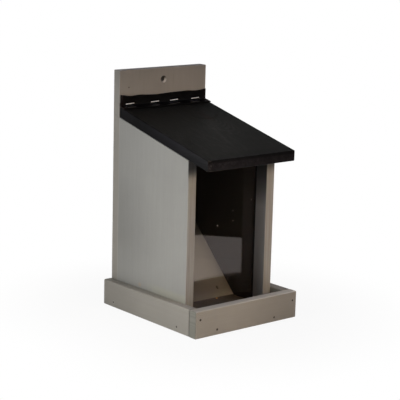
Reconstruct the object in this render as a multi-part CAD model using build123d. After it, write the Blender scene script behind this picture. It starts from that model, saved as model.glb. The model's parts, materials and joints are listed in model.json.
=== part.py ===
from build123d import *
import math
import os

# A small wooden bird feeder: a back board that hangs on one screw, two side walls on a floor,
# a clear pane that holds the seed back, a tray round the foot, and a roof board that lifts on a
# stapled strip hinge to fill it.
#
# Millimetres. +Z is up, the feeder faces -Y, and the origin is under the middle of its box.
# A depth is measured forward from the front face of the back board.

# House boards
house_width = 139.5
back_height = 303.0
back_thickness = 12.5
wall_thickness = 12.5
wall_depth = 139.5
floor_thickness = 12.0

# Tray boards
tray_depth = 175.0
tray_height = 33.0
tray_thickness = 12.5

# Roof board, plumb cut at both ends
roof_thickness = 13.0
roof_reach = 175.0
roof_rear_height = 257.6
roof_pitch = 13.5
roof_rear_gap = 0.4
roof_seat_gap = 0.3

# Seed ramp inside, from the back board down to the floor
ramp_height = 95.0
ramp_pitch = 45.0
ramp_thickness = 9.0

# Clear pane in grooves, held above the floor so that seed runs out under it
pane_thickness = 2.0
pane_setback = 21.5
pane_face_play = 0.4
pane_edge_play = 0.3
pane_roof_gap = 1.0
groove_depth = 5.0
outlet_height = 13.5

# Strip hinge across the joint of roof and back board
strip_thickness = 1.5
strip_rise = 11.5
strip_lap = 10.8
strip_right_gap = 0.3
strip_crease_gap = 0.3

# How far the hand-cut edges of the strip stray, at even steps from left to right
rise_waves = (2.0, -0.1, 0.5, -0.4, -0.5, 0.1, 0.5, 0.7, 0.0, 1.3)
lap_waves = (-2.3, -0.5, 0.8, -0.2, 1.5, 0.5)

# Staples of flat wire: two rows of four
staple_crown = 13.0
staple_leg = 6.0
staple_wire_width = 1.0
staple_wire_thickness = 0.6
staple_bend = 0.6
back_staple_places = (-54.0, -14.2, 17.0, 52.0)
back_staple_rise = 1.8
back_staple_tilt = 2.0
roof_staple_places = (-55.0, -17.0, 16.0, 49.0)
roof_staple_lap = 6.1

# Hanging hole with its countersink
hole_radius = 2.0
hole_drop = 15.0
countersink_radius = 4.6
countersink_angle = 90.0

# Sanded arrises
house_arris = 0.8
tray_arris = 2.0
roof_arris = 1.0

# What follows from the sizes above
front_reach = max(tray_depth, roof_reach)
back_face_y = (front_reach - back_thickness) / 2
roof_slope = math.tan(math.radians(roof_pitch))
roof_drop = roof_thickness / math.cos(math.radians(roof_pitch))
tray_inner_depth = tray_depth - tray_thickness
pane_front_depth = wall_depth - pane_setback
pane_back_depth = pane_front_depth - pane_thickness
pane_seat_height = floor_thickness + outlet_height


def forward(depth):
    """Y of a place that lies this depth in front of the back board."""
    return back_face_y - depth


def roof_top_at(depth):
    """Height of the roof board's upper face at a depth."""
    return roof_rear_height - depth * roof_slope


def roof_under_at(depth):
    """Height of the roof board's lower face at a depth."""
    return roof_top_at(depth) - roof_drop


def board_between(x_low, x_high, depth_low, depth_high, z_low, z_high):
    """Square board between two X, two depths and two heights."""
    size = (x_high - x_low, depth_high - depth_low, z_high - z_low)
    corner = (x_low, forward(depth_high), z_low)
    return Pos(*corner) * Box(*size, align=(Align.MIN, Align.MIN, Align.MIN))


def board_from_side(outline, x_low, x_high):
    """Board whose side view is an outline of (depth, height) points."""
    points = [(forward(depth), height) for depth, height in outline]
    face = Plane.YZ.offset(x_low) * Polygon(*points, align=None)
    return extrude(face, x_high - x_low, dir=(1, 0, 0))


# The hinge line is the inner corner of the strip's two outer faces.
hinge_depth = strip_thickness
hinge_height = roof_top_at(hinge_depth) + strip_thickness / math.cos(math.radians(roof_pitch))
hinge_point = (0, forward(hinge_depth), hinge_height)

# Face of the strip on the back board, and on the roof: X to the right, Y up the back board or
# up the roof, Z out of the strip.
back_strip_face = Plane(origin=hinge_point, x_dir=(1, 0, 0), z_dir=(0, -1, 0))
roof_strip_face = back_strip_face.rotated((roof_pitch - 90, 0, 0))


def staple():
    """Flat wire bent to a crown along X with two legs down, its crown's outer face at Z 0."""
    leg_x = (staple_crown - staple_wire_thickness) / 2
    crown_z = -staple_wire_thickness / 2
    foot_z = -staple_leg
    corners = ((-leg_x, 0, foot_z), (-leg_x, 0, crown_z), (leg_x, 0, crown_z), (leg_x, 0, foot_z))
    wire = FilletPolyline(*corners, radius=staple_bend)
    section = Plane(origin=wire @ 0, x_dir=(1, 0, 0), z_dir=(0, 0, 1))
    return sweep(section * Rectangle(staple_wire_thickness, staple_wire_width), path=wire)


def back_staples():
    """Slightly tilted row through the upper half of the strip into the back board."""
    seats = [Pos(x, back_staple_rise) * Rot(Z=back_staple_tilt) for x in back_staple_places]
    return [back_strip_face * seat * staple() for seat in seats]


def roof_staples():
    """Row through the lower half of the strip into the roof board."""
    return [roof_strip_face * Pos(x, -roof_staple_lap) * staple() for x in roof_staple_places]


def back_board():
    """Tall board with a countersunk hanging hole, slotted by the staples' legs."""
    half = house_width / 2
    board = board_between(-half, half, -back_thickness, 0, 0, back_height)
    flush_edges = board.edges().filter_by(Axis.Z).group_by(Axis.Y)[0]
    board = fillet(board.edges() - flush_edges, house_arris)
    face = Plane(origin=(0, back_face_y, back_height - hole_drop), z_dir=(0, -1, 0))
    hole = CounterSinkHole(hole_radius, countersink_radius, back_thickness, countersink_angle)
    board -= face * hole
    return board - back_staples()


def side_wall(side):
    """Wall on the floor, flush with the back board, with a stopped groove for the pane."""
    outer = side * house_width / 2
    inner = outer - side * wall_thickness
    x_low, x_high = sorted((outer, inner))
    outline = [
        (0, floor_thickness),
        (wall_depth, floor_thickness),
        (wall_depth, roof_under_at(wall_depth) - roof_seat_gap),
        (0, roof_under_at(0) - roof_seat_gap),
    ]
    wall = board_from_side(outline, x_low, x_high)
    wall = fillet(wall.edges().filter_by(Axis.Z).group_by(Axis.Y)[0], house_arris)
    groove_x = sorted((inner, inner + side * groove_depth))
    groove = board_between(
        *groove_x,
        pane_back_depth - pane_face_play,
        pane_front_depth + pane_face_play,
        pane_seat_height,
        roof_under_at(0),
    )
    return wall - groove


def floor_board():
    """Floor under the walls, out to the tray's front board."""
    half = house_width / 2
    return board_between(-half, half, 0, tray_inner_depth, 0, floor_thickness)


def feed_ramp():
    """Sloping board between the walls, mitred to the back board and the floor."""
    inner = house_width / 2 - wall_thickness
    slope = math.tan(math.radians(ramp_pitch))
    rise = ramp_height - floor_thickness
    upright = ramp_thickness / math.cos(math.radians(ramp_pitch))
    outline = [
        (0, ramp_height),
        (rise / slope, floor_thickness),
        ((rise - upright) / slope, floor_thickness),
        (0, ramp_height - upright),
    ]
    return board_from_side(outline, -inner, inner)


def window_pane():
    """Clear pane that stands in the walls' grooves."""
    half = house_width / 2 - wall_thickness + groove_depth - pane_edge_play
    top = roof_under_at(pane_front_depth) - pane_roof_gap
    return board_between(-half, half, pane_back_depth, pane_front_depth, pane_seat_height, top)


def tray_front():
    """Front board of the tray, across the ends of its sides."""
    half = house_width / 2 + tray_thickness
    board = board_between(-half, half, tray_inner_depth, tray_depth, 0, tray_height)
    return fillet(board.edges(), tray_arris)


def tray_side(side):
    """Side board of the tray, from the back board's rear face to the tray's front board."""
    inner = side * house_width / 2
    outer = inner + side * tray_thickness
    x_low, x_high = sorted((inner, outer))
    board = board_between(x_low, x_high, -back_thickness, tray_inner_depth, 0, tray_height)
    return fillet(board.edges(), tray_arris)


def roof_board():
    """Roof board that rests on the side walls and lifts at the front."""
    half = house_width / 2
    outline = [
        (roof_rear_gap, roof_top_at(roof_rear_gap)),
        (roof_reach, roof_top_at(roof_reach)),
        (roof_reach, roof_under_at(roof_reach)),
        (roof_rear_gap, roof_under_at(roof_rear_gap)),
    ]
    board = fillet(board_from_side(outline, -half, half).edges(), roof_arris)
    return board - roof_staples()


def strip_half(plane, crease, reach, waves):
    """Half of the strip under a plane of its outer face, from the crease to a hand-cut edge."""
    left = -house_width / 2
    right = house_width / 2 - strip_right_gap
    step = (right - left) / (len(waves) - 1)
    side = math.copysign(1, reach)
    cut = [(left + i * step, reach + side * wave) for i, wave in enumerate(waves)]
    cut_edge = Spline(*cut)
    straight_edges = Polyline(cut[-1], (right, crease), (left, crease), cut[0])
    outline = make_face(cut_edge + straight_edges)
    return extrude(plane * outline, strip_thickness, dir=-plane.z_dir)


def hinge_strip_back():
    """Upper half of the strip, on the back board."""
    low = roof_top_at(0) + strip_crease_gap - hinge_height
    return strip_half(back_strip_face, low, strip_rise, rise_waves) - back_staples()


def hinge_strip_roof():
    """Lower half of the strip, on the roof board."""
    return strip_half(roof_strip_face, -strip_crease_gap, -strip_lap, lap_waves) - roof_staples()


def build():
    """Every sub-part by its node name."""
    parts = {
        "back_board": back_board(),
        "left_wall": side_wall(-1),
        "right_wall": side_wall(1),
        "floor_board": floor_board(),
        "feed_ramp": feed_ramp(),
        "window_pane": window_pane(),
        "tray_front": tray_front(),
        "tray_left": tray_side(-1),
        "tray_right": tray_side(1),
        "roof_board": roof_board(),
        "hinge_strip_back": hinge_strip_back(),
        "hinge_strip_roof": hinge_strip_roof(),
    }
    for number, wire in enumerate(back_staples(), start=1):
        parts[f"back_staple_{number}"] = wire
    for number, wire in enumerate(roof_staples(), start=1):
        parts[f"roof_staple_{number}"] = wire
    return parts


os.makedirs("parts", exist_ok=True)
for name, solid in build().items():
    export_step(solid, f"parts/{name}.step")
    print(f"{name}: {solid.volume:.1f} mm3")
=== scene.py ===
import json
import math

import bpy
from mathutils import Matrix, Vector


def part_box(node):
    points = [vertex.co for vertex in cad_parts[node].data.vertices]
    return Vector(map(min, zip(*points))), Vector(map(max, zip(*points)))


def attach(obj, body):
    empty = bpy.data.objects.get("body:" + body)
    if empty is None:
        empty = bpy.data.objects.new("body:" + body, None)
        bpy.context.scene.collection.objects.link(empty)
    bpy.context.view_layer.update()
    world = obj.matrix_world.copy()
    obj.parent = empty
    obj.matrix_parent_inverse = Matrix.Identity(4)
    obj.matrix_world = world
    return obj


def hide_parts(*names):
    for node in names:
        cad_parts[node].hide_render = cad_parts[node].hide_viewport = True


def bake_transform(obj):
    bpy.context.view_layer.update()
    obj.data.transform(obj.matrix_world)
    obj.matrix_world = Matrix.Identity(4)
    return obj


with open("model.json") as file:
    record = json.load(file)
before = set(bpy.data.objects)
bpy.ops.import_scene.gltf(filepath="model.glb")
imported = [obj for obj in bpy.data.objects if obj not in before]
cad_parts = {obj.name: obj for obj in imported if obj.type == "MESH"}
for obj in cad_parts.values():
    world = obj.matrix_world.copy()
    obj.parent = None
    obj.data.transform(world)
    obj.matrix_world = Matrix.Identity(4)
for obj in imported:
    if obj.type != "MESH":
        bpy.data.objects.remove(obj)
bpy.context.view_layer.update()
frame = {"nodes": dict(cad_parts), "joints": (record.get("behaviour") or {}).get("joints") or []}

nodes = frame["nodes"]
MM = 0.001

# Camera of the photograph
CAMERA_PLACE = (-1.1020, -1.3161, 0.5121)
CAMERA_YAW = 39.884
CAMERA_PITCH = -12.095
CAMERA_ROLL = 1.465
FOCAL_PIXELS = 1393.56
IMAGE_PIXELS = 400.0
SENSOR_WIDTH = 36.0

# Places on the feeder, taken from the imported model
HINGE = Vector(frame["joints"][0]["pos_m"])
BACK_LOW, BACK_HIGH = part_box("back_board")
WALL_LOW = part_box("right_wall")[0]
PANE_LOW, PANE_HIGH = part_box("window_pane")
FLOOR_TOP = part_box("floor_board")[1].z
TRAY_FRONT_LOW, TRAY_FRONT_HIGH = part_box("tray_front")
TRAY_LEFT_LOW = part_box("tray_left")[0]
ROOF_PITCH = math.radians(13.5)
RAMP_PITCH = math.radians(45.0)


def add_camera():
    """Camera at the photograph's viewing angle."""
    data = bpy.data.cameras.new("camera")
    data.sensor_width = SENSOR_WIDTH
    data.lens = FOCAL_PIXELS / IMAGE_PIXELS * SENSOR_WIDTH
    camera = bpy.data.objects.new("camera", data)
    bpy.context.scene.collection.objects.link(camera)
    turn = Matrix.Rotation(math.radians(-CAMERA_YAW), 4, "Z")
    tilt = Matrix.Rotation(math.radians(90 + CAMERA_PITCH), 4, "X")
    roll = Matrix.Rotation(math.radians(CAMERA_ROLL), 4, "Z")
    camera.matrix_world = Matrix.Translation(CAMERA_PLACE) @ turn @ tilt @ roll
    data.clip_start = 0.01
    data.clip_end = 50.0
    bpy.context.scene.camera = camera


# Nodes of a material
class Nodes:
    """Small helper to write a node tree as lines of code."""

    def __init__(self, name):
        self.material = bpy.data.materials.new(name)
        self.material.use_nodes = True
        self.tree = self.material.node_tree
        self.tree.nodes.clear()
        self.output = self.add("ShaderNodeOutputMaterial")

    def add(self, kind, **values):
        """New node. Keys that name a setting of the node set it, and the others feed its inputs."""
        node = self.tree.nodes.new(kind)
        settings = [key for key in values if hasattr(node, key)]
        for key in settings:
            setattr(node, key, values[key])
        for key, value in values.items():
            if key not in settings:
                self.feed(node.inputs[key.replace("_", " ")], value)
        return node

    def feed(self, socket, value):
        if isinstance(value, bpy.types.NodeSocket):
            self.tree.links.new(value, socket)
        else:
            socket.default_value = value

    def math(self, operation, a, b=0.0, c=0.0):
        node = self.add("ShaderNodeMath", operation=operation)
        for socket, value in zip(node.inputs, (a, b, c)):
            self.feed(socket, value)
        return node.outputs[0]

    def product(self, first, *others):
        for other in others:
            first = self.math("MULTIPLY", first, other)
        return first

    def mix(self, share, a, b, blend="MIX"):
        """Mix of two colours, which the node takes at sockets 6 and 7 and gives at output 2."""
        node = self.add("ShaderNodeMix", data_type="RGBA", blend_type=blend)
        self.feed(node.inputs[0], share)
        self.feed(node.inputs[6], a)
        self.feed(node.inputs[7], b)
        return node.outputs[2]

    def ramp(self, value, *stops):
        """Value mapped through (place, grey or colour) stops."""
        node = self.add("ShaderNodeValToRGB", Fac=value)
        elements = node.color_ramp.elements
        for place, colour in stops[1:-1]:
            elements.new(place)
        for element, (place, colour) in zip(elements, stops):
            element.position = place
            grey = isinstance(colour, (int, float))
            element.color = (colour, colour, colour, 1) if grey else (*colour, 1)
        return node.outputs[0]

    def step(self, value, low, high):
        """0 below low and 1 above high, smooth between. With low above high it falls instead."""
        node = self.add("ShaderNodeMapRange", interpolation_type="SMOOTHSTEP")
        node.clamp = True
        self.feed(node.inputs["Value"], value)
        node.inputs["From Min"].default_value = min(low, high)
        node.inputs["From Max"].default_value = max(low, high)
        node.inputs["To Min"].default_value = 0.0 if low < high else 1.0
        node.inputs["To Max"].default_value = 1.0 if low < high else 0.0
        return node.outputs["Result"]

    def coordinates(self):
        return self.add("ShaderNodeTexCoord").outputs["Object"]

    def axes(self):
        """X, Y and Z of a point of the surface, in metres."""
        return self.add("ShaderNodeSeparateXYZ", Vector=self.coordinates()).outputs[:3]

    def place(self, scale=(1, 1, 1), shift=(0, 0, 0)):
        """Object coordinates in metres, scaled and shifted."""
        node = self.add("ShaderNodeMapping", Vector=self.coordinates())
        node.inputs["Location"].default_value = shift
        node.inputs["Scale"].default_value = scale
        return node.outputs[0]

    def noise(self, vector, scale, detail=4.0, rough=0.5, distortion=0.0):
        node = self.add("ShaderNodeTexNoise", Vector=vector, Scale=scale, Detail=detail, Roughness=rough)
        node.inputs["Distortion"].default_value = distortion
        return node.outputs["Fac"]

    def bump(self, height, strength, distance):
        return self.add("ShaderNodeBump", Height=height, Strength=strength, Distance=distance).outputs[0]

    def inside(self, low, high, soft=0.0004):
        """1 inside a box of the frame, 0 outside."""
        share = 1.0
        for axis, floor, ceiling in zip(self.axes(), low, high):
            above = self.step(axis, floor - soft, floor + soft)
            below = self.step(axis, ceiling + soft, ceiling - soft)
            share = self.product(share, above, below)
        return share

    def edge_gap(self, low, high):
        """Gap from a point of a box's surface to the nearest edge: the second smallest gap to a side."""
        gaps = []
        for axis, floor, ceiling in zip(self.axes(), low, high):
            near = self.math("SUBTRACT", axis, floor)
            far = self.math("SUBTRACT", ceiling, axis)
            gaps.append(self.math("MINIMUM", near, far))
        a, b, c = gaps
        smaller = self.math("MINIMUM", a, b)
        larger = self.math("MAXIMUM", a, b)
        return self.math("MAXIMUM", smaller, self.math("MINIMUM", larger, c))

    def mix_shaders(self, share, a, b):
        """First shader where the share is 0, and the second where it is 1."""
        node = self.add("ShaderNodeMixShader")
        for socket, value in zip(node.inputs, (share, a, b)):
            self.feed(socket, value)
        return node.outputs[0]

    def finish(self, shader):
        self.tree.links.new(shader, self.output.inputs["Surface"])
        return self.material


# Axes of the frame
X, Y, Z = range(3)

# Paint on planed boards. The grain runs along one axis of the frame.
GRAIN_AXES = {"X": (0.03, 1, 1), "Y": (1, 0.03, 1), "Z": (1, 1, 0.03)}
# WALL_GREY to FRONT_GREY are one grey paint, with a lighter or darker copy for each board as painted light
# and shade.
WALL_GREY = (0.318, 0.316, 0.294)
RIGHT_GREY = (0.355, 0.342, 0.305)
BOARD_GREY = (0.260, 0.246, 0.218)
TRAY_GREY = (0.300, 0.284, 0.250)
FRONT_GREY = (0.350, 0.338, 0.300)
# The floor board's dark grey is painted shade, for the shadow that falls on it inside the tray.
FLOOR_SHADE_GREY = (0.105, 0.088, 0.070)
RAMP_GREY = (0.250, 0.244, 0.250)
HOPPER_BLACK = (0.046, 0.038, 0.034)
PAINT_GLOSS = 0.22
BOARD_SHIFT = (0.37, 0.53, 0.71)

# Wood's figure as noise: scale, detail, then roughness and distortion where they aren't the usual ones
FIBRES = (1500.0, 3.0, 0.6)
PAINT_BANDS = (230.0, 3.0, 0.55, 0.15)
PAINT_CLOUDS = (16.0, 4.0, 0.55)
PAINT_PORES = (620.0, 2.0, 0.5)
EDGE_STREAKS = (380.0, 2.0, 0.5)
STAIN_BANDS = (190.0, 3.0, 0.55, 0.8)
STAIN_CLOUDS = (18.0, 4.0, 0.55)
STAIN_STREAKS = (420.0, 2.0, 0.55, 0.6)
STAIN_CHIPS = (520.0, 2.0)

# Colours, tints and factors of the marks on the paint; the tints of the eave, the arris, the ramp's foot and
# the bore, and the countersink's light, are painted light and shade
NO_TINT = (1.0, 1.0, 1.0, 1)
WALL_FOOT_TINT = (1.08, 1.07, 0.98, 1)
EAVE_SHADE_TINT = (1.12, 1.15, 1.26, 1)
ARRIS_HIGHLIGHT_TINT = (1.22, 1.27, 1.33, 1)
RAMP_FOOT_SHADE_TINT = (0.41, 0.365, 0.31, 1)
TRAY_END_GREEN = (0.235, 0.232, 0.198, 1)
BORE_SHADE = (0.010, 0.009, 0.008, 1)
DARK_KNOT = (0.075, 0.066, 0.058)
WARM_STAIN = (0.345, 0.300, 0.250)
PIN_STAIN = (0.020, 0.015, 0.012)
STREAK_TONES = ((0.36, (0.93, 0.90, 0.90)), (0.62, (1.07, 1.10, 1.13)))
COUNTERSINK_LIGHT = ((0.0, 0.03), (0.5, 0.12), (0.75, 0.42), (1.0, 0.8))
COUNTERSINK_GAIN = 3.0
JOINT_SHADE = 0.62
GROOVE_SHADE = 0.06
RING_DEPTH = 0.10

# Painted light and shade: how the paint gets paler or darker along one axis, as (place in metres, factor)
LEFT_EAVE_SHADE = ((0.182, 1.0), (0.188, 0.86), (0.195, 0.42), (0.200, 0.20))
RIGHT_EAVE_SHADE = (
    (0.160, 1.0), (0.175, 0.93), (0.179, 0.88), (0.183, 0.76),
    (0.187, 0.57), (0.191, 0.33), (0.200, 0.25),
)
INNER_EAVE_SHADE = ((0.138, 1.0), (0.152, 0.62), (0.165, 0.33), (0.177, 0.16), (0.190, 0.07), (0.200, 0.05))
BACK_UP = ((0.272, 1.13), (0.282, 1.05), (0.290, 0.99), (0.300, 0.90))
BACK_ACROSS = ((-0.065, 0.92), (-0.030, 0.97), (0.020, 1.06), (0.045, 1.03), (0.065, 0.95))
RAMP_HEAD = ((0.0780, 1.0), (0.0800, 0.40), (0.0950, 0.25))
RAMP_FOOT_UP = ((0.0125, 1.70), (0.0145, 1.45), (0.0180, 1.18), (0.0200, 1.04), (0.0235, 0.95))
RAMP_FOOT_ACROSS = ((0.010, 1.0), (0.022, 1.08), (0.037, 1.28), (0.047, 1.55), (0.057, 1.80))
TRAY_FACE_ACROSS = ((-0.082, 1.02), (-0.045, 1.07), (-0.025, 1.06), (0.0, 0.98), (0.040, 0.86), (0.082, 0.76))
TRAY_FACE_UP = ((0.004, 0.97), (0.032, 1.03))
TRAY_TOP_ACROSS = ((-0.082, 1.20), (0.0, 1.45), (0.035, 1.65), (0.082, 1.7))

# Places of the marks
RAMP_FOOT_TOP = 32.8 * MM
TRAY_TOP = 34.3 * MM
GROOVE_PLAY = 0.4 * MM
GROOVE_FRONT = PANE_LOW.y - GROOVE_PLAY
HOLE_DROP = 15 * MM
HOLE_HEIGHT = BACK_HIGH.z - HOLE_DROP
WALL_FRONT = WALL_LOW.y
RECESS_HALF = WALL_LOW.x
HOPPER_HEADROOM = 40 * MM
HOPPER_LOW = Vector((PANE_LOW.x, GROOVE_FRONT, FLOOR_TOP - MM))
HOPPER_HIGH = Vector((PANE_HIGH.x, BACK_LOW.y + MM, PANE_HIGH.z + HOPPER_HEADROOM))


def scaled(n, colour, factor):
    """Colour times a factor or a tint."""
    return n.mix(1.0, colour, factor, "MULTIPLY")


def shaded(n, colour, share, factor):
    """Colour times a factor where the share is 1, and as it was where the share is 0."""
    return scaled(n, colour, n.math("ADD", n.product(n.math("SUBTRACT", factor, 1.0), share), 1.0))


def tinted(n, colour, share, tint):
    """Colour times a tint where the share is 1, and as it was where the share is 0."""
    return scaled(n, colour, n.mix(share, NO_TINT, tint))


def along(n, value, *stops):
    """Factor that follows (place in metres, factor) stops of one axis."""
    first, last = stops[0][0], stops[-1][0]
    share = n.add("ShaderNodeMapRange", Value=value)
    share.clamp = True
    share.inputs["From Min"].default_value = first
    share.inputs["From Max"].default_value = last
    places = [((place - first) / (last - first), factor / 2) for place, factor in stops]
    return n.math("MULTIPLY", n.ramp(share.outputs[0], *places), 2.0)


def length(n, a, b):
    """Length of the diagonal of two lengths at a right angle."""
    return n.math("SQRT", n.math("ADD", n.math("MULTIPLY", a, a), n.math("MULTIPLY", b, b)))


def distance(n, across, up, centre_across, centre_up):
    """Distance from a place in millimetres, along two axes."""
    a = n.math("SUBTRACT", across, centre_across * MM)
    b = n.math("SUBTRACT", up, centre_up * MM)
    return length(n, a, b)


def painted_light_to_front(gain):
    """Mark that makes a long side paler toward the tray's front, as painted light."""

    def mark(n, colour):
        y = n.axes()[1]
        return scaled(n, colour, along(n, y, (TRAY_FRONT_LOW.y, 1 + gain), (BACK_HIGH.y, 1 - gain)))

    return mark


def hopper_black(n, colour):
    """Black inside of the seed hopper."""
    return n.mix(n.inside(HOPPER_LOW, HOPPER_HIGH), colour, (*HOPPER_BLACK, 1))


def painted_shade_patch(across, up, reach, factor):
    """Mark of painted shade that darkens a wide soft patch about two places of the axes, as (axis, place)
    pairs.
    """

    def mark(n, colour):
        axes = n.axes()
        away = distance(n, axes[across[0]], axes[up[0]], across[1], up[1])
        return shaded(n, colour, n.step(away, reach * MM, reach * 0.15 * MM), factor)

    return mark


def spot(across, up, radius, stain):
    """Mark with a small round stain at two places of the axes, as (axis, place) pairs."""

    def mark(n, colour):
        axes = n.axes()
        away = distance(n, axes[across[0]], axes[up[0]], across[1], up[1])
        return n.mix(n.step(away, radius * MM, radius * 0.4 * MM), colour, (*stain, 1))

    return mark


def front_edge(n, y):
    """1 on a side wall's front edge, 0 behind it."""
    return n.step(y, WALL_FRONT + 1.0 * MM, WALL_FRONT + 0.4 * MM)


def inner_face(n, x):
    """1 on a side wall's inner face, 0 outside it."""
    return n.step(n.math("ABSOLUTE", x), RECESS_HALF + 0.3 * MM, RECESS_HALF)


def back_board_painted_light(n, colour):
    """Back board made paler near the roof and at its middle, as painted light."""
    x, _, z = n.axes()
    colour = scaled(n, colour, along(n, z, *BACK_UP))
    return scaled(n, colour, along(n, x, *BACK_ACROSS))


def countersink_shade(n, colour):
    """Black bore as painted shade, and a painted highlight where the countersink is lit at its lower right.
    """
    x, y, z = n.axes()
    up = n.math("SUBTRACT", z, HOLE_HEIGHT)
    away = length(n, x, up)
    side = n.math("DIVIDE", n.math("SUBTRACT", x, up), away)
    lit = n.math("MULTIPLY_ADD", side, 1 / (2 * math.sqrt(2)), 0.5)
    sunk = n.product(
        n.step(y, BACK_LOW.y + 0.03 * MM, BACK_LOW.y + 0.2 * MM),
        n.step(y, BACK_LOW.y + 3.4 * MM, BACK_LOW.y + 3.0 * MM),
        n.step(away, 5.0 * MM, 4.8 * MM),
    )
    light = n.math("MULTIPLY", n.ramp(lit, *COUNTERSINK_LIGHT), COUNTERSINK_GAIN)
    colour = shaded(n, colour, sunk, light)
    return n.mix(n.product(sunk, n.step(away, 2.6 * MM, 2.2 * MM)), colour, BORE_SHADE)


def wall_foot(n, colour):
    """Paler and warmer where a side wall stands on the tray."""
    _, y, z = n.axes()
    foot = n.product(
        n.step(z, 46 * MM, 40 * MM),
        n.step(y, 30 * MM, -10 * MM),
        n.step(y, WALL_FRONT + 0.3 * MM, WALL_FRONT + 1.2 * MM),
    )
    return n.mix(foot, colour, scaled(n, colour, WALL_FOOT_TINT))


def groove_line(n, colour):
    """Painted shade: a dark line on a wall's inner face, in front of the pane's groove."""
    x, y, _ = n.axes()
    line = n.product(
        n.step(y, GROOVE_FRONT - 2.2 * MM, GROOVE_FRONT - 1.6 * MM),
        n.step(y, GROOVE_FRONT + 3 * MM, GROOVE_FRONT),
    )
    return shaded(n, colour, n.product(line, inner_face(n, x)), GROOVE_SHADE)


def edge_streaks(n, colour):
    """Grain that shows as fine streaks up a wall's front edge."""
    y = n.axes()[1]
    streaks = n.noise(n.place(scale=GRAIN_AXES["Z"], shift=(0.9, 0.2, 0.6)), *EDGE_STREAKS)
    tone = n.ramp(streaks, *STREAK_TONES)
    return n.mix(front_edge(n, y), colour, scaled(n, colour, tone))


def eave_painted_shade(*front_stops):
    """Mark of painted shade under the roof: it darkens a wall's front edge by these stops, and tints and
    darkens its inner face.
    """

    def mark(n, colour):
        x, y, z = n.axes()
        edge = front_edge(n, y)
        inner = n.product(inner_face(n, x), n.math("SUBTRACT", 1.0, edge))
        colour = shaded(n, colour, edge, along(n, z, *front_stops))
        colour = tinted(n, colour, inner, EAVE_SHADE_TINT)
        return shaded(n, colour, inner, along(n, z, *INNER_EAVE_SHADE))

    return mark


def ramp_painted_shade(n, colour):
    """Ramp with painted shade, dark at its head and dark brown at its foot, and painted light at the foot's
    bottom and right.
    """
    x, _, z = n.axes()
    colour = scaled(n, colour, along(n, z, *RAMP_HEAD))
    foot = n.step(z, RAMP_FOOT_TOP + 0.4 * MM, RAMP_FOOT_TOP - 0.4 * MM)
    colour = n.mix(foot, colour, scaled(n, colour, RAMP_FOOT_SHADE_TINT))
    paler = n.product(along(n, z, *RAMP_FOOT_UP), along(n, x, *RAMP_FOOT_ACROSS))
    return shaded(n, colour, foot, paler)


def tray_joint(n, colour):
    """Dark joint between a side of the tray and its front board, seen from outside."""
    y = n.axes()[1]
    joint = n.step(n.math("ABSOLUTE", n.math("SUBTRACT", y, TRAY_FRONT_HIGH.y)), 1.3 * MM, 0.6 * MM)
    return shaded(n, colour, joint, JOINT_SHADE)


def rings_round(n, colour, away, reach, pitch, depth):
    """Faint growth rings, by the distance from their middle."""
    waves = n.math("SINE", n.math("MULTIPLY", away, 2 * math.pi / pitch))
    fade = n.product(n.step(away, reach, reach / 2), depth)
    return scaled(n, colour, n.math("ADD", n.product(waves, fade), 1.0))


def tray_front_marks(n, colour):
    """Tray front with painted light: it fades to the right, its top is paler toward the right, and its front
    arris has a painted highlight; with a greenish end and rings round one pin.
    """
    x, y, z = n.axes()
    face = n.product(along(n, x, *TRAY_FACE_ACROSS), along(n, z, *TRAY_FACE_UP))
    upper = n.step(z, TRAY_TOP - 0.6 * MM, TRAY_TOP - 0.2 * MM)
    colour = scaled(n, colour, n.mix(upper, face, along(n, x, *TRAY_TOP_ACROSS)))
    arris = n.product(
        n.step(z, TRAY_TOP - 1.3 * MM, TRAY_TOP - 0.7 * MM),
        n.step(y, TRAY_FRONT_LOW.y + 1.1 * MM, TRAY_FRONT_LOW.y + 0.6 * MM),
    )
    colour = tinted(n, colour, arris, ARRIS_HIGHLIGHT_TINT)
    end = n.step(x, TRAY_FRONT_LOW.x + 0.9 * MM, TRAY_FRONT_LOW.x + 0.3 * MM)
    colour = n.mix(end, colour, TRAY_END_GREEN)
    away = distance(n, x, z, *TRAY_FRONT_PINS[0])
    colour = rings_round(n, colour, away, 14 * MM, 2.2 * MM, RING_DEPTH)
    return tray_joint(n, colour)


def painted_wood(name, box, grain, shift, paint, marks=()):
    """Matt paint with the wood's grain just telegraphing through, paler in patches along the arrises, which
    is partly wear and partly a painted highlight.
    """
    n = Nodes(name)
    lengthwise = n.place(scale=GRAIN_AXES[grain], shift=shift)
    fibres = n.noise(lengthwise, *FIBRES)
    bands = n.noise(lengthwise, *PAINT_BANDS)
    clouds = n.noise(n.place(shift=shift), *PAINT_CLOUDS)
    pores = n.noise(lengthwise, *PAINT_PORES)
    shade = n.ramp(clouds, (0.3, 0.95), (0.7, 1.04))
    shade = n.product(shade, n.ramp(bands, (0.35, 0.98), (0.65, 1.012)))
    shade = n.product(shade, n.ramp(fibres, (0.4, 0.985), (0.6, 1.01)))
    shade = n.product(shade, n.ramp(pores, (0.22, 0.88), (0.31, 1.0)))
    gap = n.edge_gap(*box)
    # Arrises paler in patches: partly wear, partly a painted highlight.
    rubbed_and_highlit = n.math("MULTIPLY", n.step(gap, 1.6 * MM, 0.2 * MM), n.step(clouds, 0.3, 0.6))
    shade = n.math("ADD", shade, n.math("MULTIPLY", rubbed_and_highlit, 0.16))
    colour = n.mix(1.0, (*paint, 1), shade, "MULTIPLY")
    for mark in marks:
        colour = mark(n, colour)
    rough = n.math("ADD", n.math("MULTIPLY", pores, 0.2), 0.45)
    height = n.math("ADD", n.math("MULTIPLY", fibres, 0.3), n.math("MULTIPLY", bands, 0.7))
    normal = n.bump(height, 0.22, 0.25 * MM)
    shader = n.add("ShaderNodeBsdfPrincipled", Base_Color=colour, Roughness=rough, Normal=normal)
    shader.inputs["Specular IOR Level"].default_value = PAINT_GLOSS
    return n.finish(shader.outputs[0])


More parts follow.
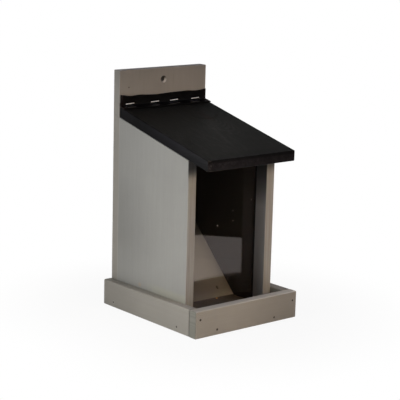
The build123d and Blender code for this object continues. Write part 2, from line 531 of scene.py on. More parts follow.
# Plane of the roof's upper face, from its height at the back board
ROOF_RISE = math.tan(ROOF_PITCH)
ROOF_REAR_TOP = 257.6 * MM
ROOF_TOP_AT_ZERO = ROOF_REAR_TOP - ROOF_RISE * BACK_LOW.y

# How painted light and shade change the roof's stain, as (place in metres, factor): painted shade toward the
# back, a painted sheen across the sheen's direction, and painted light and shade on the board's sides toward
# the back and downward
ROOF_SHADE_TO_BACK = ((-0.05, 1.2), (-0.01, 1.25), (0.02, 0.85), (0.05, 0.38))
ROOF_REAR_SHADE = 0.25
SHEEN_DIRECTION = (0.832, -0.555)
ROOF_SHEEN = (
    (-0.085, 0.68), (-0.046, 0.78), (-0.004, 1.06), (0.014, 1.19),
    (0.032, 1.08), (0.046, 0.91), (0.070, 0.72), (0.095, 0.68),
)
SIDE_SHADE_TO_BACK = (
    (-0.094, 1.08), (-0.050, 1.0), (-0.030, 0.75), (-0.008, 0.60),
    (0.010, 0.50), (0.040, 0.60), (0.081, 0.50),
)
SIDE_SHADE_DOWN = ((0.0, 1.35), (0.004, 1.22), (0.008, 0.85), (0.0134, 0.62))

# Colours and tints of the stain; the tints of the side and front edges and the front band are painted shade
STAIN_TONES = ((0.3, (0.0104, 0.0107, 0.0095)), (0.7, (0.0236, 0.0240, 0.0211)))
STAIN_STREAK_TONES = ((0.50, 0.94), (0.62, 1.30), (0.72, 1.05))
SIDE_SHADE_TINT = (0.52, 0.51, 0.61, 1)
FRONT_SHADE_TINT = (0.76, 0.69, 0.88, 1)
FRONT_BAND_SHADE = 0.36
WORN_GREY = (0.035, 0.034, 0.034, 1)
CHIP_GREY = (0.060, 0.055, 0.050, 1)

# Knot that shows on the roof, in metres of the roof's X and Y
ROOF_KNOT = (0.028, 0.027)
KNOT_STRETCH = 0.42
KNOT_RING_PITCH = 3.4 * MM
KNOT_WOBBLE = 8 * MM
KNOT_BROWN = (0.026, 0.0165, 0.014, 1)

# Figure of the roof's wood, in millimetres of the roof's X and Y: a dark arc, a pale patch, and pale
# streaks as (x where y is 0, slope, first y, last y, factor)
ARC_CENTRE = (29.0, 43.0)
ARC_RADIUS = 22.0
ARC_TINT = (0.56, 0.46, 0.40, 1)
PATCH_CENTRE = (20.0, 9.0)
PATCH_FACTOR = 1.22
ROOF_STREAKS = (
    (12.0, 0.25, -2.0, -64.0, 1.34),
    (31.6, 0.36, -6.0, -84.0, 1.20),
    (4.0, 0.10, -30.0, -60.0, 1.16),
)


def roof_figure(n, colour, x, y):
    """Wood's figure before the knot: a dark warm arc, a pale patch and pale streaks toward the front."""
    off_arc = n.math("SUBTRACT", distance(n, x, y, *ARC_CENTRE), ARC_RADIUS * MM)
    arc = n.product(n.step(n.math("ABSOLUTE", off_arc), 3.4 * MM, 0.6 * MM), n.step(y, 38 * MM, 30 * MM))
    colour = tinted(n, colour, arc, ARC_TINT)
    patch = n.step(distance(n, x, y, *PATCH_CENTRE), 17 * MM, 4 * MM)
    colour = shaded(n, colour, patch, PATCH_FACTOR)
    for start, slope, first, last, factor in ROOF_STREAKS:
        off_line = n.math("SUBTRACT", x, n.math("MULTIPLY_ADD", y, slope, start * MM))
        streak = n.product(
            n.step(n.math("ABSOLUTE", off_line), 3.6 * MM, 0.8 * MM),
            n.step(y, first * MM, (first - 10) * MM),
            n.step(y, last * MM, (last + 16) * MM),
        )
        colour = shaded(n, colour, streak, factor)
    return colour


def roof_knot(n, x, y, clouds):
    """Waves of the growth rings about the roof's knot, and 1 at the knot itself."""
    aside = n.math("SUBTRACT", x, ROOF_KNOT[0])
    stretched = n.math("MULTIPLY", n.math("SUBTRACT", y, ROOF_KNOT[1]), KNOT_STRETCH)
    away = length(n, aside, stretched)
    wobble = n.math("ADD", away, n.math("MULTIPLY", n.math("SUBTRACT", clouds, 0.5), KNOT_WOBBLE))
    rings = n.math("SINE", n.math("MULTIPLY", wobble, 2 * math.pi / KNOT_RING_PITCH))
    rings = n.math("MULTIPLY", rings, n.step(away, 34 * MM, 8 * MM))
    return rings, n.step(away, 8 * MM, 3 * MM)


def roof_edges(n, shade, clouds, low, high):
    """Stain on the roof board's sides and front edge, worn and chipped, with painted shade on both, and 1
    where those edges are.
    """
    x, y, z = n.axes()
    gap = n.math("MINIMUM", n.math("SUBTRACT", x, low.x), n.math("SUBTRACT", high.x, x))
    worn = n.math("MULTIPLY", n.step(gap, 1.2 * MM, 0.1 * MM), n.step(clouds, 0.45, 0.62))
    shade = n.mix(n.math("MULTIPLY", worn, 0.4), shade, WORN_GREY)
    drop = n.math("SUBTRACT", n.math("MULTIPLY_ADD", y, ROOF_RISE, ROOF_TOP_AT_ZERO), z)
    side = n.step(gap, 0.5 * MM, 0.15 * MM)
    front = n.step(y, low.y + 0.5 * MM, low.y + 0.15 * MM)
    edges = n.math("MAXIMUM", side, front)
    side_shade_tint = scaled(n, SIDE_SHADE_TINT, along(n, y, *SIDE_SHADE_TO_BACK))
    shade = tinted(n, shade, edges, n.mix(front, side_shade_tint, FRONT_SHADE_TINT))
    shade = shaded(n, shade, n.product(front, n.step(drop, 4.8 * MM, 2.6 * MM)), FRONT_BAND_SHADE)
    side_only = n.product(side, n.math("SUBTRACT", 1.0, front))
    shade = shaded(n, shade, side_only, along(n, drop, *SIDE_SHADE_DOWN))
    chips = n.step(n.noise(n.place(), *STAIN_CHIPS), 0.54, 0.60)
    chips = n.product(chips, n.step(x, low.x + 8 * MM, low.x + 3 * MM))
    return n.mix(n.product(front, chips), shade, CHIP_GREY), edges


def black_wood(name):
    """Charcoal stain that lets the grain and one knot show, duller on the board's edges, with painted shade
    toward the back and a painted sheen across it.
    """
    n = Nodes(name)
    lengthwise = n.place(scale=GRAIN_AXES["Y"], shift=(3.1, 0.4, 1.7))
    bands = n.noise(lengthwise, *STAIN_BANDS)
    fibres = n.noise(lengthwise, *FIBRES)
    clouds = n.noise(n.place(shift=(0.2, 0.6, 0.1)), *STAIN_CLOUDS)
    streaks = n.ramp(n.noise(lengthwise, *STAIN_STREAKS), *STAIN_STREAK_TONES)
    x, y, _ = n.axes()
    rings, knot = roof_knot(n, x, y, clouds)
    shade = n.ramp(bands, *STAIN_TONES)
    shade = scaled(n, shade, n.math("ADD", n.math("MULTIPLY", rings, 0.38), 1.12))
    shade = n.mix(n.math("MULTIPLY", knot, 0.6), shade, KNOT_BROWN)
    low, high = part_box("roof_board")
    shade = scaled(n, shade, along(n, y, (low.y, 1.0), *ROOF_SHADE_TO_BACK, (high.y, ROOF_REAR_SHADE)))
    aslant = [n.math("MULTIPLY", axis, part) for axis, part in zip((x, y), SHEEN_DIRECTION)]
    shade = scaled(n, shade, along(n, n.math("ADD", *aslant), *ROOF_SHEEN))
    shade = roof_figure(n, scaled(n, shade, streaks), x, y)
    shade, edges = roof_edges(n, shade, clouds, low, high)
    rough = n.math("ADD", n.math("MULTIPLY", bands, 0.18), 0.42)
    relief = n.math("ADD", n.math("MULTIPLY", bands, 0.6), n.math("MULTIPLY", rings, 0.12))
    height = n.math("ADD", n.math("MULTIPLY", fibres, 0.3), relief)
    normal = n.bump(height, 0.45, 0.35 * MM)
    shader = n.add("ShaderNodeBsdfPrincipled", Base_Color=shade, Roughness=rough, Normal=normal)
    n.feed(shader.inputs["Specular IOR Level"], n.math("MULTIPLY_ADD", edges, -0.08, 0.12))
    return n.finish(shader.outputs[0])


# Strip, metals and pane
STRIP_TONES = ((0.3, (0.0020, 0.0019, 0.0019)), (0.7, (0.0040, 0.0035, 0.0035)))
STRIP_END_BROWN = (0.0095, 0.0050, 0.0045, 1)
WIRE_DARK = (0.60, 0.585, 0.58)
WIRE_BRIGHT = (0.85, 0.84, 0.83)
DULL_SHINE = 0.16
PANE_TONES = ((0.3, (0.95, 0.965, 0.96)), (0.7, (0.97, 0.985, 0.98)))
PANE_MIRROR_TINT = (0.620, 0.512, 0.490, 1)
PANE_SHADOW = (0.92, 0.93, 0.93, 1)
PANE_IOR = 1.46
PANE_FOOT_SHADE = (0.020, 0.018, 0.016, 1)


def strip_material(name):
    """Black bitumen strip with a fine pebbled face."""
    n = Nodes(name)
    pebble = n.noise(n.place(), 1500.0, 4.0, 0.6)
    waves = n.noise(n.place(), 160.0, 2.0, 0.5)
    x = n.axes()[0]
    colour = n.ramp(waves, *STRIP_TONES)
    ends = n.step(n.math("ABSOLUTE", x), 60 * MM, 68 * MM)
    colour = n.mix(n.math("MULTIPLY", ends, 0.6), colour, STRIP_END_BROWN)
    rough = n.ramp(pebble, (0.3, 0.24), (0.7, 0.42))
    height = n.math("ADD", n.math("MULTIPLY", pebble, 0.2), waves)
    normal = n.bump(height, 0.4, 0.4 * MM)
    shader = n.add("ShaderNodeBsdfPrincipled", Base_Color=colour, Roughness=rough, Normal=normal)
    shader.inputs["Specular IOR Level"].default_value = 0.06
    return n.finish(shader.outputs[0])


def staple_metal(name, shine):
    """Galvanised flat wire with fine draw lines, dulled by a shine below 1."""
    n = Nodes(name)
    lines = n.noise(n.place(scale=(0.05, 1, 1)), 4000.0, 3.0, 0.6)
    spots = n.noise(n.place(), 700.0, 3.0, 0.6)
    dark = tuple(shine * part for part in WIRE_DARK)
    bright = tuple(shine * part for part in WIRE_BRIGHT)
    colour = n.ramp(spots, (0.3, dark), (0.7, bright))
    rough = n.ramp(lines, (0.3, 0.32), (0.7, 0.5))
    shader = n.add("ShaderNodeBsdfPrincipled", Base_Color=colour, Roughness=rough)
    shader.inputs["Metallic"].default_value = 1.0
    return n.finish(shader.outputs[0])


def pin_metal(name, dark, bright, metallic):
    """Small steel or brass pin head, dulled in spots, or dust."""
    n = Nodes(name)
    spots = n.noise(n.place(), 2200.0, 3.0, 0.6)
    colour = n.ramp(spots, (0.35, dark), (0.65, bright))
    shader = n.add("ShaderNodeBsdfPrincipled", Base_Color=colour, Roughness=0.5)
    shader.inputs["Metallic"].default_value = metallic
    return n.finish(shader.outputs[0])


def clear_pane(name):
    """Clear acrylic that lets lamps through, with a dull sawn edge at its foot painted black as shade."""
    n = Nodes(name)
    z = n.axes()[2]
    smear = n.noise(n.place(scale=(1, 1, 0.4), shift=(0.3, 0, 0.2)), 26.0, 3.0, 0.5)
    glass = n.add("ShaderNodeBsdfPrincipled", Base_Color=n.ramp(smear, *PANE_TONES))
    glass.inputs["Roughness"].default_value = 0.0
    glass.inputs["Specular Tint"].default_value = PANE_MIRROR_TINT
    glass.inputs["IOR"].default_value = PANE_IOR
    glass.inputs["Transmission Weight"].default_value = 1.0
    through = n.add("ShaderNodeBsdfTransparent")
    through.inputs["Color"].default_value = PANE_SHADOW
    shadow = n.add("ShaderNodeLightPath").outputs["Is Shadow Ray"]
    clear = n.mix_shaders(shadow, glass.outputs[0], through.outputs[0])
    sawn = n.add("ShaderNodeBsdfDiffuse", Color=PANE_FOOT_SHADE)
    foot = n.step(z, PANE_LOW.z + 0.10 * MM, PANE_LOW.z + 0.04 * MM)
    return n.finish(n.mix_shaders(foot, clear, sawn.outputs[0]))


def assign(material, *names):
    for name in names:
        nodes[name].data.materials.clear()
        nodes[name].data.materials.append(material)


def dress_cad():
    """A material for each CAD node that stays."""
    boards = {
        "back_board": ("Z", BOARD_GREY),
        "left_wall": ("Z", WALL_GREY),
        "right_wall": ("Z", RIGHT_GREY),
        "floor_board": ("Y", FLOOR_SHADE_GREY),
        "feed_ramp": ("X", RAMP_GREY),
    }
    marks = {
        "back_board": (
            spot((X, -55.5), (Z, 281.0), 1.3, DARK_KNOT),
            back_board_painted_light,
            countersink_shade,
            hopper_black,
        ),
        "left_wall": (
            painted_light_to_front(0.13),
            painted_shade_patch((Y, 68), (Z, 118), 85, 0.83),
            wall_foot,
            spot((Y, 33.4), (Z, 37.3), 4.0, WARM_STAIN),
            edge_streaks,
            eave_painted_shade(*LEFT_EAVE_SHADE),
            hopper_black,
        ),
        "right_wall": (edge_streaks, eave_painted_shade(*RIGHT_EAVE_SHADE), groove_line, hopper_black),
        "feed_ramp": (ramp_painted_shade, spot((X, RAMP_PIN[0]), (Y, RAMP_PIN[1]), 2.4, PIN_STAIN)),
    }
    for number, (name, (grain, paint)) in enumerate(boards.items()):
        shift = tuple(part * number for part in BOARD_SHIFT)
        assign(painted_wood(name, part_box(name), grain, shift, paint, marks.get(name, ())), name)
    assign(black_wood("roof_board"), "roof_board")
    assign(clear_pane("window_pane"), "window_pane")
    rows = (("bright_staple", 1.0, "back_staple_"), ("dull_staple", DULL_SHINE, "roof_staple_"))
    for metal, shine, row in rows:
        assign(staple_metal(metal, shine), *[name for name in nodes if name.startswith(row)])


def new_piece(name, vertices, faces, material, smooth=True):
    """Mesh object in the frame, from points in metres."""
    mesh = bpy.data.meshes.new(name)
    mesh.from_pydata(vertices, [], faces)
    mesh.validate()
    mesh.polygons.foreach_set("use_smooth", [smooth] * len(mesh.polygons))
    mesh.materials.append(material)
    piece = bpy.data.objects.new(name, mesh)
    bpy.context.scene.collection.objects.link(piece)
    return piece


# Tray boards with crisp arrises. The sides rise a little toward the front.
TRAY_REAR_TOP = TRAY_FRONT_HIGH.z
TRAY_FRONT_SHIFT = (1.85, 2.65, 3.55)
TRAY_SIDE_SHIFT = (2.22, 3.18, 4.26)
FRONT_ARRIS = 1.3 * MM
SIDE_ARRIS = 1.8 * MM
ARRIS_ANGLES = (45, 30, 15, 0)


def grid_lines(low, high, radius):
    """Places of the mesh's lines along one axis of a board, close together round its arrises."""
    near = [radius * (1 - math.tan(math.radians(angle))) for angle in ARRIS_ANGLES]
    return [low + gap for gap in near] + [high - gap for gap in reversed(near)]


def rounded_board(name, low, high, radius, rear_top, material):
    """Board with rounded arrises, its top at high.z in front and at rear_top behind."""
    lines = [grid_lines(low[axis], high[axis], radius) for axis in range(3)]
    core_low = Vector([value + radius for value in low])
    core_high = Vector([value - radius for value in high])
    vertices = []
    normals = []
    faces = []
    found = {}

    def corner(point):
        key = tuple(round(value / MM, 4) for value in point)
        if key not in found:
            core = Vector([min(max(point[axis], core_low[axis]), core_high[axis]) for axis in range(3)])
            normal = (Vector(point) - core).normalized()
            place = core + normal * radius
            behind = (place.y - low.y) / (high.y - low.y)
            place.z += (rear_top - high.z) * behind * (place.z - low.z) / (high.z - low.z)
            found[key] = len(vertices)
            vertices.append(place)
            normals.append(normal)
        return found[key]

    for axis in range(3):
        second, third = (axis + 1) % 3, (axis + 2) % 3
        for end, outward in ((low[axis], False), (high[axis], True)):
            for a, b in zip(lines[second], lines[second][1:]):
                for c, d in zip(lines[third], lines[third][1:]):
                    quad = []
                    for along_second, along_third in ((a, c), (b, c), (b, d), (a, d)):
                        point = [0.0, 0.0, 0.0]
                        point[axis], point[second], point[third] = end, along_second, along_third
                        quad.append(corner(point))
                    faces.append(tuple(quad) if outward else tuple(reversed(quad)))
    board = new_piece(name, vertices, faces, material)
    board.data.normals_split_custom_set_from_vertices(normals)
    return board


def add_tray():
    """The tray's three boards."""
    front_low, front_high = Vector(TRAY_FRONT_LOW), Vector(TRAY_FRONT_HIGH)
    front_high.z = TRAY_TOP
    box = (front_low, front_high)
    paint = painted_wood("tray_front", box, "X", TRAY_FRONT_SHIFT, FRONT_GREY, (tray_front_marks,))
    front = rounded_board("tray_front_board", *box, FRONT_ARRIS, TRAY_TOP, paint)
    boards = [(front, "tray_front")]
    for name, marks in (("tray_left", (painted_light_to_front(0.18), tray_joint)), ("tray_right", (tray_joint,))):
        low, high = [Vector(corner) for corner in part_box(name)]
        high.z = TRAY_TOP
        paint = painted_wood(name, (low, high), "Y", TRAY_SIDE_SHIFT, TRAY_GREY, marks)
        board = rounded_board(f"{name}_board", low, high, SIDE_ARRIS, TRAY_REAR_TOP, paint)
        boards.append((board, name))
    for board, node in boards:
        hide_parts(node)
        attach(board, "house")


# Strip hinge: one hand-cut strip across the crease, in millimetres until it is built
STRIP_THICKNESS = 1.5
STRIP_RISE = 11.5
STRIP_LAP = 10.8
STRIP_RIGHT_GAP = 0.3
STRIP_LEFT = BACK_LOW.x / MM
STRIP_RIGHT = BACK_HIGH.x / MM - STRIP_RIGHT_GAP
RISE_WAVES = (2.0, -0.1, 0.5, -0.4, -0.5, 0.1, 0.5, 0.7, 0.0, 1.3)
LAP_WAVES = (-2.3, -0.5, 0.8, -0.2, 1.5, 0.5)
CREASE_RADIUS = 0.8
STRIP_CLEARANCE = 0.04
STRIP_STEP = 0.55
BACK_STAPLE_PLACES = (-54.0, -14.2, 17.0, 52.0)
BACK_STAPLE_RISE = 1.8
BACK_STAPLE_TILT = math.radians(2.0)
ROOF_STAPLE_PLACES = (-55.0, -17.0, 16.0, 49.0)
ROOF_STAPLE_LAP = 6.1
STAPLE_HALF = 6.5
STAPLE_WIRE_HALF = 0.5
STAPLE_DENT = 0.78
STAPLE_DENT_WIDTH = 1.0
OUTER_RIM = 0.2
INNER_RIM = 0.15

# How the strip stands off the boards: the middle of its ripple, each wave of it as (height, turn for
# a millimetre, start), and the heights of ripple and curl on the back board and on the roof
RIPPLE_MIDDLE = 0.5
RIPPLE_WAVES = ((0.3, 0.23, 0.8), (0.2, 0.61, 2.1))
BACK_RIPPLE = 0.55
BACK_CURL = 1.6
ROOF_RIPPLE = 0.45
ROOF_CURL = 0.35


def smooth_step(value, low, high):
    share = min(max((value - low) / (high - low), 0.0), 1.0)
    return share * share * (3 - 2 * share)


def wave_at(waves, share):
    """Smooth curve through evenly spaced waves, at a share of its length."""
    place = share * (len(waves) - 1)
    first = min(int(place), len(waves) - 2)
    t = place - first
    before = waves[max(first - 1, 0)]
    a, b = waves[first], waves[first + 1]
    after = waves[min(first + 2, len(waves) - 1)]
    slope_a = (b - before) / 2
    slope_b = (after - a) / 2
    cubic = (2 * t**3 - 3 * t**2 + 1) * a + (t**3 - 2 * t**2 + t) * slope_a
    return cubic + (3 * t**2 - 2 * t**3) * b + (t**3 - t**2) * slope_b


def strip_path(along):
    """Point of the strip's outer face and its normal, as (Y, Z) pairs, at a distance along the strip.

    The distance is 0 at the crease's middle, positive up the back board and negative down the roof.
    """
    turn = math.pi / 2 - ROOF_PITCH
    tangent = CREASE_RADIUS * math.tan(turn / 2)
    half_arc = CREASE_RADIUS * turn / 2
    up = Vector((0.0, 1.0))
    down = Vector((-math.cos(ROOF_PITCH), -math.sin(ROOF_PITCH)))
    corner = Vector((HINGE.y, HINGE.z)) / MM
    centre = corner + up * tangent + Vector((-CREASE_RADIUS, 0.0))
    if along > half_arc:
        return corner + up * (tangent + along - half_arc), Vector((-1.0, 0.0))
    if along < -half_arc:
        normal = Vector((-math.sin(ROOF_PITCH), math.cos(ROOF_PITCH)))
        return corner + down * (tangent - along - half_arc), normal
    angle = (half_arc - along) / CREASE_RADIUS
    normal = Vector((-math.cos(angle), math.sin(angle)))
    return centre - normal * CREASE_RADIUS, normal


def staple_distance(x, along):
    """Distance from a point of the strip to the nearest staple's crown."""
    if along >= 0:
        places, centre, tilt = BACK_STAPLE_PLACES, BACK_STAPLE_RISE, BACK_STAPLE_TILT
    else:
        places, centre, tilt = ROOF_STAPLE_PLACES, -ROOF_STAPLE_LAP, 0.0
    nearest = math.inf
    for place in places:
        aside = x - place
        rise = along - centre
        lengthwise = aside * math.cos(tilt) + rise * math.sin(tilt)
        across = rise * math.cos(tilt) - aside * math.sin(tilt)
        beyond = max(abs(lengthwise) - STAPLE_HALF, 0.0)
        nearest = min(nearest, math.hypot(beyond, max(abs(across) - STAPLE_WIRE_HALF, 0.0)))
    return nearest


def strip_lift(x, along):
    """How far the strip stands off the boards: it ripples at its cut edges and curls at its ends."""
    ripple = RIPPLE_MIDDLE
    for height, turn, start in RIPPLE_WAVES:
        ripple += height * math.sin(turn * x + start)
    if along >= 0:
        lift = BACK_RIPPLE * ripple * smooth_step(along, 5.0, 13.0)
        lift += BACK_CURL * smooth_step(-x, 63.5, 69.0) ** 2 * smooth_step(along, 0.5, 6.0)
    else:
        lift = ROOF_RIPPLE * ripple * smooth_step(-along, 7.0, 12.5)
        lift += ROOF_CURL * smooth_step(x, 57.0, 66.0) * smooth_step(-along, 1.0, 5.0)
    return lift


def add_strip():
    """One continuous strip, stapled to the back board and the roof, that folds at its crease."""
    columns = round((STRIP_RIGHT - STRIP_LEFT) / STRIP_STEP)
    rows = round((STRIP_RISE + STRIP_LAP) / STRIP_STEP)
    vertices = []
    for inner in (False, True):
        for i in range(columns + 1):
            share = i / columns
            x = STRIP_LEFT + share * (STRIP_RIGHT - STRIP_LEFT)
            top = STRIP_RISE + wave_at(RISE_WAVES, share)
            foot = -STRIP_LAP - wave_at(LAP_WAVES, share)
            for j in range(rows + 1):
                along = foot + (top - foot) * j / rows
                point, normal = strip_path(along)
                rim = min(i, columns - i, j, rows - j) == 0
                height = strip_lift(x, along)
                if inner:
                    height -= STRIP_THICKNESS - STRIP_CLEARANCE - (INNER_RIM if rim else 0.0)
                else:
                    near = staple_distance(x, along)
                    height -= STAPLE_DENT * math.exp(-((near / STAPLE_DENT_WIDTH) ** 2))
                    height -= OUTER_RIM if rim else 0.0
                point = point + normal * height
                vertices.append((x * MM, point.x * MM, point.y * MM))
    faces = []
    layer = (columns + 1) * (rows + 1)
    for i in range(columns):
        for j in range(rows):
            a = i * (rows + 1) + j
            b = a + rows + 1
            faces.append((a, b, b + 1, a + 1))
            faces.append((layer + a, layer + a + 1, layer + b + 1, layer + b))
    rim_loop = [i * (rows + 1) for i in range(columns + 1)]
    rim_loop += [columns * (rows + 1) + j for j in range(1, rows + 1)]
    rim_loop += [i * (rows + 1) + rows for i in range(columns - 1, -1, -1)]
    rim_loop += [j for j in range(rows - 1, 0, -1)]
    for a, b in zip(rim_loop, rim_loop[1:] + rim_loop[:1]):
        faces.append((b, a, layer + a, layer + b))
    strip = new_piece("hinge_strip", vertices, faces, strip_material("strip"))
    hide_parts("hinge_strip_back", "hinge_strip_roof")
    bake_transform(strip)


# Pins that hold the boards, and what else dots the surfaces, in millimetres
TRAY_FRONT_PINS = ((-75.0, 23.4), (-48.3, 6.9), (45.0, 6.0), (75.5, 23.0))
TRAY_SIDE_PINS = ((72.3, 6.8), (-57.5, 7.1))
BACK_PINS = ((-63.0, 48.0), (63.0, 48.0), (-63.0, 205.0), (63.0, 205.0), (-30.0, 6.0), (30.0, 6.0))
RAMP_PIN = (37.1, 8.7)
RAMP_RISE = 83.0
PIN_LIP = ((2.1, 0.0), (1.85, 0.10), (1.65, 0.13), (1.45, 0.07), (1.3, 0.02))
PIN_HEAD = ((1.45, 0.0), (1.3, 0.045), (0.8, 0.06), (0.4, 0.03), (0.0, 0.035))
BRASS_PIN = (27.7, -2.8)
BRASS_HEAD = ((1.3, 0.0), (1.2, 0.4), (0.9, 0.75), (0.5, 0.95), (0.0, 1.0))
SPECKS = (
    (-3.6, 118.8, 0.8), (21.3, 134.9, 0.5), (21.8, 122.0, 0.5),
    (51.8, 145.5, 0.6), (15.9, 47.2, 0.5), (16.2, 49.0, 0.4),
)
SPECK_PROFILE = ((1.0, 0.01), (0.7, 0.05), (0.0, 0.06))
ROUND_STEPS = 20

# Metal or dust as its dark tone, its bright tone and its share of metal
STEEL = ((0.012, 0.008, 0.006), (0.035, 0.026, 0.021), 0.2)
BRASS = ((0.60, 0.30, 0.11), (0.95, 0.58, 0.25), 0.5)
DUST = ((0.32, 0.27, 0.25), (0.55, 0.47, 0.44), 0.0)


def revolved(profile, places):
    """Vertices and faces of a profile of (radius, height) turned about each place's Z axis."""
    vertices = []
    faces = []
    for matrix in places:
        rings = []
        for radius, height in profile:
            if radius == 0.0:
                rings.append([len(vertices)] * ROUND_STEPS)
                vertices.append(matrix @ Vector((0, 0, height * MM)))
                continue
            rings.append([len(vertices) + k for k in range(ROUND_STEPS)])
            for k in range(ROUND_STEPS):
                angle = 2 * math.pi * k / ROUND_STEPS
                offset = (radius * MM * math.cos(angle), radius * MM * math.sin(angle), height * MM)
                vertices.append(matrix @ Vector(offset))
        for outer, inner in zip(rings, rings[1:]):
            for k in range(ROUND_STEPS):
                after = (k + 1) % ROUND_STEPS
                face = (outer[k], outer[after], inner[after], inner[k])
                faces.append(tuple(dict.fromkeys(face)))
    return vertices, faces


def facing(point, normal):
    """Place whose Z axis is a normal."""
    turn = Vector(normal).to_track_quat("Z", "Y").to_matrix().to_4x4()
    return Matrix.Translation(Vector(point)) @ turn


def add_pins():
    """Small pins set flush in the boards, most in a raised lip of paint, and specks of dust on the pane."""
    front_y = TRAY_FRONT_LOW.y
    places = [facing((x * MM, front_y, z * MM), (0, -1, 0)) for x, z in TRAY_FRONT_PINS]
    for side in (-1, 1):
        side_x = side * -TRAY_LEFT_LOW.x
        places += [facing((side_x, y * MM, z * MM), (side, 0, 0)) for y, z in TRAY_SIDE_PINS]
    places += [facing((x * MM, BACK_HIGH.y, z * MM), (0, 1, 0)) for x, z in BACK_PINS]
    box = (TRAY_FRONT_LOW, TRAY_FRONT_HIGH)
    lip_paint = painted_wood("pin_lips", box, "X", (0.2, 0.9, 0.4), TRAY_GREY)
    lips = new_piece("pin_lips", *revolved(PIN_LIP, places), lip_paint)
    ramp_x, ramp_y = RAMP_PIN
    ramp_z = FLOOR_TOP + RAMP_RISE * MM - (BACK_LOW.y - ramp_y * MM)
    ramp_normal = (0, -math.sin(RAMP_PITCH), math.cos(RAMP_PITCH))
    places.append(facing((ramp_x * MM, ramp_y * MM, ramp_z), ramp_normal))
    steel = pin_metal("pin_steel", *STEEL)
    heads = new_piece("pin_heads", *revolved(PIN_HEAD, places), steel)
    brass_x, brass_y = BRASS_PIN
    brass_place = [facing((brass_x * MM, brass_y * MM, FLOOR_TOP), (0, 0, 1))]
    brass = pin_metal("pin_brass", *BRASS)
    brass_pin = new_piece("floor_pin", *revolved(BRASS_HEAD, brass_place), brass)
    speck_places = []
    for x, z, radius in SPECKS:
        place = facing((x * MM, PANE_LOW.y, z * MM), (0, -1, 0))
        speck_places.append(place @ Matrix.Diagonal((radius, radius, 1, 1)))
    dust = pin_metal("seed_dust", *DUST)
    specks = new_piece("pane_specks", *revolved(SPECK_PROFILE, speck_places), dust)
    slots = ((lips, "grey_paint"), (heads, "staple"), (brass_pin, "staple"), (specks, "clear_pane"))
    for piece, slot in slots:
        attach(piece, "house")


# Studio
FLOOR_SIZE = 12.0
FLOOR_COLOUR = (0.82, 0.82, 0.82)
FLOOR_NEAR = 0.92
FLOOR_FADE = (0.13, 0.32)
WORLD_LIGHT = 0.10
WORLD_COLOUR = (1.0, 0.95, 0.95)
CARD_EDGE = ((0.2649, -0.3775), (0.2978, -0.3414))
CARD_REACH = 3.0
CARD_GREY = 0.004
CEILING_HEIGHT = 3.2
CEILING_SIZE = 16.0
CEILING_GREY = 0.08


def light_path_share(tree):
    """1 for what the camera sees straight, mirrored or through the pane, and 0 for what only lights."""
    path = tree.nodes.new("ShaderNodeLightPath")
    seen = path.outputs["Is Camera Ray"]
    for kind in ("Is Glossy Ray", "Is Transmission Ray"):
        either = tree.nodes.new("ShaderNodeMath")
        either.operation = "MAXIMUM"
        tree.links.new(seen, either.inputs[0])
        tree.links.new(path.outputs[kind], either.inputs[1])
        seen = either.outputs[0]
    scattered = tree.nodes.new("ShaderNodeMath")
    scattered.operation = "SUBTRACT"
    scattered.use_clamp = True
    tree.links.new(seen, scattered.inputs[0])
    tree.links.new(path.outputs["Diffuse Depth"], scattered.inputs[1])
    return scattered.outputs[0]


def add_floor():
    """Plain pale floor that keeps a soft shadow and is white further out."""
    bpy.ops.mesh.primitive_grid_add(x_subdivisions=8, y_subdivisions=8, size=FLOOR_SIZE)
    floor = bpy.context.object
    floor.name = "floor"
    n = Nodes("floor")
    grain = n.noise(n.place(), 300.0, 2.0)
    colour = n.ramp(grain, (0.3, FLOOR_COLOUR), (0.7, tuple(c * 1.02 for c in FLOOR_COLOUR)))
    matt = n.add("ShaderNodeBsdfPrincipled", Base_Color=colour)
    matt.inputs["Roughness"].default_value = 0.9
    matt.inputs["Specular IOR Level"].default_value = 0.0
    white = n.add("ShaderNodeEmission")
    away = n.add("ShaderNodeVectorMath", operation="LENGTH")
    n.feed(away.inputs[0], n.coordinates())
    fade = n.step(away.outputs["Value"], *FLOOR_FADE)
    share = n.math("ADD", n.math("MULTIPLY", fade, 1 - FLOOR_NEAR), FLOOR_NEAR)
    seen = n.math("MULTIPLY", share, light_path_share(n.tree))
    floor.data.materials.append(n.finish(n.mix_shaders(seen, matt.outputs[0], white.outputs[0])))


def add_card(name, corners, grey):
    """Plain card beside the set that only mirrors in the object."""
    n = Nodes(name)
    shade = n.ramp(n.noise(n.coordinates(), 3.0), (0.0, grey), (1.0, grey * 1.05))
    glow = n.add("ShaderNodeEmission", Color=shade)
    card = new_piece(name, corners, [tuple(range(len(corners)))], n.finish(glow.outputs[0]), smooth=False)
    card.visible_camera = False
    card.visible_diffuse = False
    card.visible_shadow = False


def add_cards():
    """Dark card on one side, and a dim ceiling."""
    (ax, ay), (bx, by) = CARD_EDGE
    edge = Vector((bx - ax, by - ay, 0)).normalized()
    outward = Vector((edge.y, -edge.x, 0))
    middle = Vector((ax, ay, MM))
    near = [middle - edge * CARD_REACH, middle + edge * CARD_REACH]
    far = [corner + outward * CARD_REACH for corner in reversed(near)]
    add_card("dark_card", near + far, CARD_GREY)
    half = CEILING_SIZE / 2
    sides = ((-1, -1), (1, -1), (1, 1), (-1, 1))
    corners = [Vector((half * x, half * y, CEILING_HEIGHT)) for x, y in sides]
    add_card("ceiling", corners, CEILING_GREY)


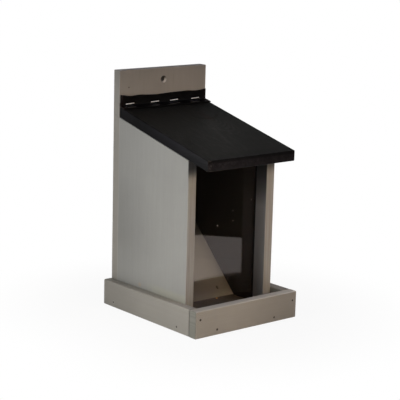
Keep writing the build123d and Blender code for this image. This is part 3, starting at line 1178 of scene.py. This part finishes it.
def add_world():
    """White background for the camera and for what is mirrored, and a soft light on the rest."""
    world = bpy.data.worlds.new("studio")
    bpy.context.scene.world = world
    world.use_nodes = True
    tree = world.node_tree
    tree.nodes.clear()
    output = tree.nodes.new("ShaderNodeOutputWorld")
    soft = tree.nodes.new("ShaderNodeBackground")
    soft.inputs["Color"].default_value = (*WORLD_COLOUR, 1)
    soft.inputs["Strength"].default_value = WORLD_LIGHT
    white = tree.nodes.new("ShaderNodeBackground")
    white.inputs["Color"].default_value = (1, 1, 1, 1)
    white.inputs["Strength"].default_value = 1.0
    mix = tree.nodes.new("ShaderNodeMixShader")
    tree.links.new(light_path_share(tree), mix.inputs[0])
    tree.links.new(soft.outputs[0], mix.inputs[1])
    tree.links.new(white.outputs[0], mix.inputs[2])
    tree.links.new(mix.outputs[0], output.inputs["Surface"])


def add_lamp(name, place, aim, size, power, colour, mirrored=True):
    """Square soft lamp at a place, aimed at a point."""
    data = bpy.data.lights.new(name, "AREA")
    data.size = size
    data.energy = power
    data.color = colour
    lamp = bpy.data.objects.new(name, data)
    bpy.context.scene.collection.objects.link(lamp)
    lamp.location = place
    lamp.rotation_euler = (Vector(aim) - Vector(place)).to_track_quat("-Z", "Y").to_euler()
    lamp.visible_camera = False
    lamp.visible_glossy = mirrored


# Each lamp's place, aim, size, power and colour
LAMPS = {
    "low_key": ((-0.36, -0.02, 0.12), (0, -0.02, 0.10), 0.16, 0.33, (1.0, 0.976, 0.93)),
    "high_key": ((-0.55, 0.03, 0.45), (0, -0.02, 0.12), 0.25, 1.10, (0.926, 0.951, 1.0)),
    "front_box": ((0.10, -1.15, 0.47), (0, 0, 0.10), 0.36, 4.85, (1.0, 0.756, 0.50)),
    "top_front": ((0.40, -0.80, 1.20), (0, 0, 0.13), 0.4, 2.4, (0.45, 0.55, 1.0)),
    "rear_fill": ((0.60, 1.10, 0.60), (0, 0, 0.13), 0.6, 3.0, (1.0, 0.99, 0.97)),
}


def add_lamps():
    for name, (place, aim, size, power, colour) in LAMPS.items():
        add_lamp(name, place, aim, size, power, colour, mirrored=name != "rear_fill")


add_camera()
dress_cad()
add_tray()
add_strip()
add_pins()
add_floor()
add_cards()
add_world()
add_lamps()
bpy.context.scene.view_settings.view_transform = "Standard"
